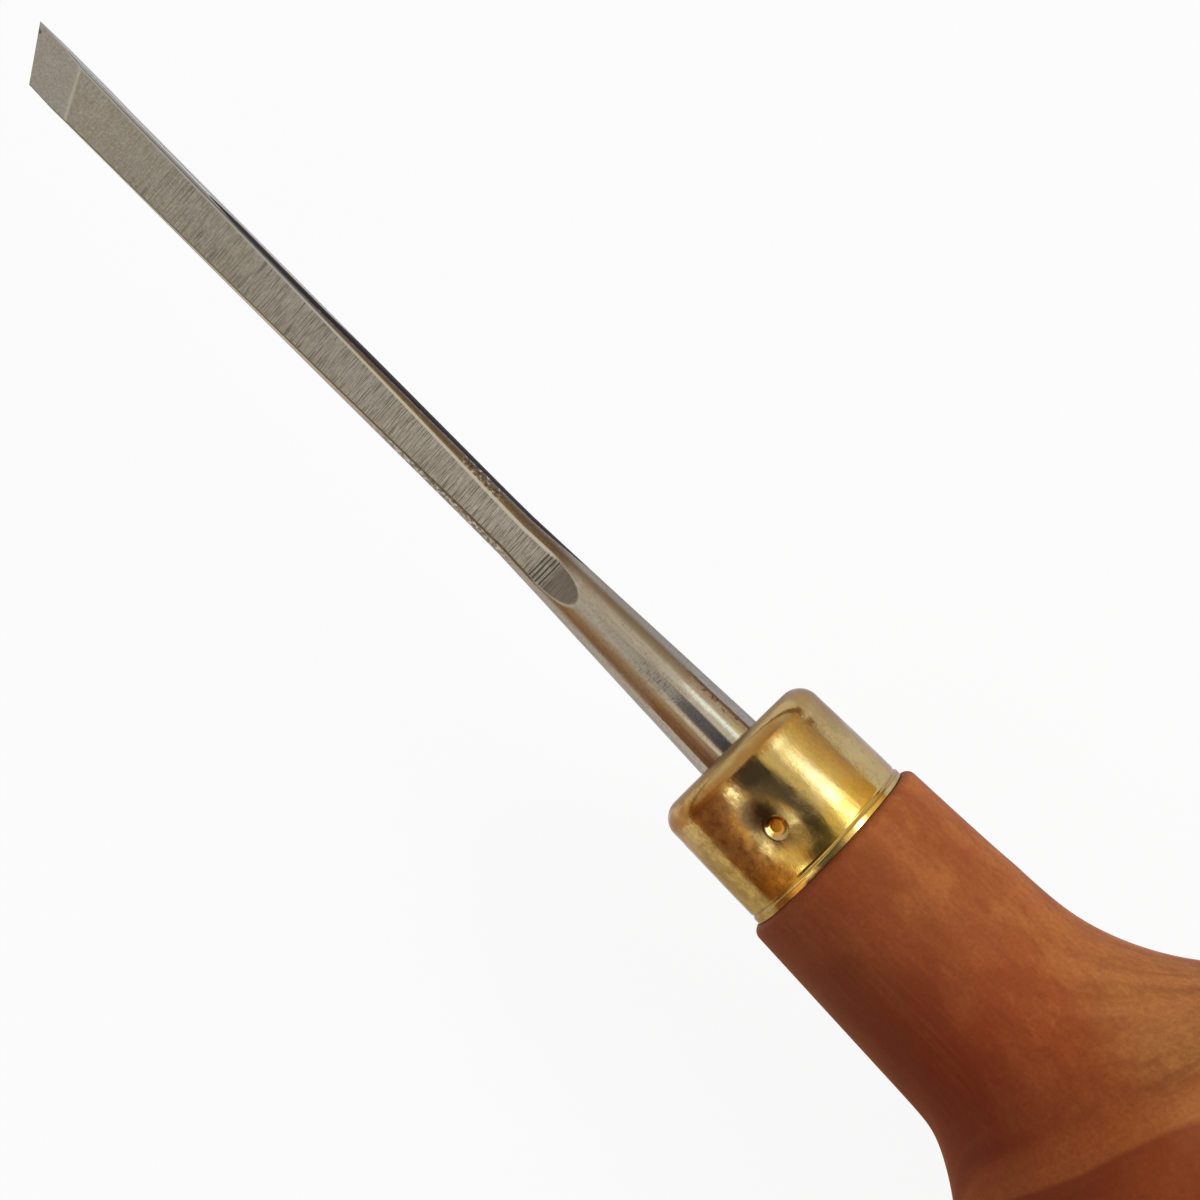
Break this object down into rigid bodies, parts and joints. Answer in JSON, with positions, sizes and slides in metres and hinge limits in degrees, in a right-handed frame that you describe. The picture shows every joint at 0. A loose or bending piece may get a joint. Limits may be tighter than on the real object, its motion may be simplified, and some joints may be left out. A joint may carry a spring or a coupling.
{
  "type": "skew carving chisel",
  "caption": "Palm-handled skew carving chisel: a slim ground steel blade with an angled double-bevel edge, a staked brass ferrule and a turned hardwood knob handle.",
  "frame": {"origin": "on the tool's axis, in the middle of the ferrule's straight band", "axes": "+X along the tool towards the cutting edge, +Z out of the upper ground face, +Y towards the short corner of the skewed edge"},
  "size_m": [0.1353, 0.036, 0.036],
  "materials": {
    "blade_steel": "ground flats with fine cross lines, polished round shank",
    "ferrule_brass": "polished drawn brass, lightly worn",
    "handle_wood": "stained and oiled hardwood, satin"
  },
  "bodies": {
    "root": {"blade": "blade_steel", "ferrule": "ferrule_brass", "handle": "handle_wood"}
  },
  "joints": []
}
